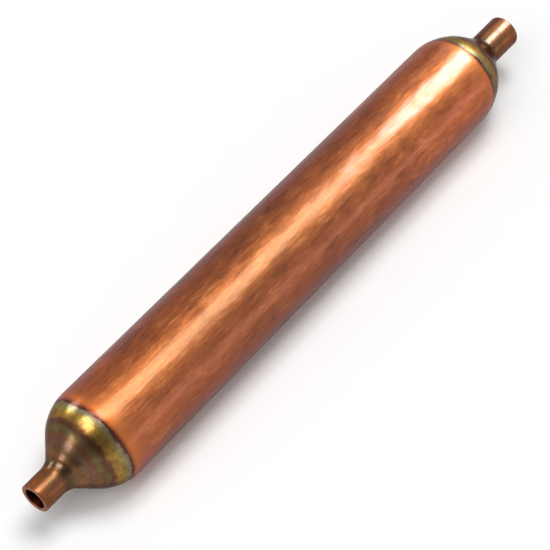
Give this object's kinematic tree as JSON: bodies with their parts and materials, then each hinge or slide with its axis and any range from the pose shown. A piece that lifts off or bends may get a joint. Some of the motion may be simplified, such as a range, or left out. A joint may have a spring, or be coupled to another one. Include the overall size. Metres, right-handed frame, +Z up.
{
  "type": "filter drier",
  "caption": "Straight copper filter drier: a parallel tube spun down to a short socket at each end, packed with desiccant beads between screens.",
  "frame": {"origin": "under the middle of the drier, on the surface that it lies on", "axes": "+X along the axis from inlet to outlet, +Z up"},
  "size_m": [0.2208, 0.03, 0.03],
  "materials": {
    "copper": "drawn copper, heat-tinted where the ends are spun",
    "screen_wire": "woven stainless wire",
    "ring_strip": "rolled strip",
    "felt": "pressed felt",
    "sieve": "matt ceramic beads"
  },
  "bodies": {
    "root": {"shell": "copper", "inlet_screen": "screen_wire", "inlet_screen_ring": "ring_strip", "inlet_pad": "felt", "desiccant_beads": "sieve", "outlet_pad": "felt", "outlet_screen": "screen_wire", "outlet_screen_ring": "ring_strip"}
  },
  "joints": []
}
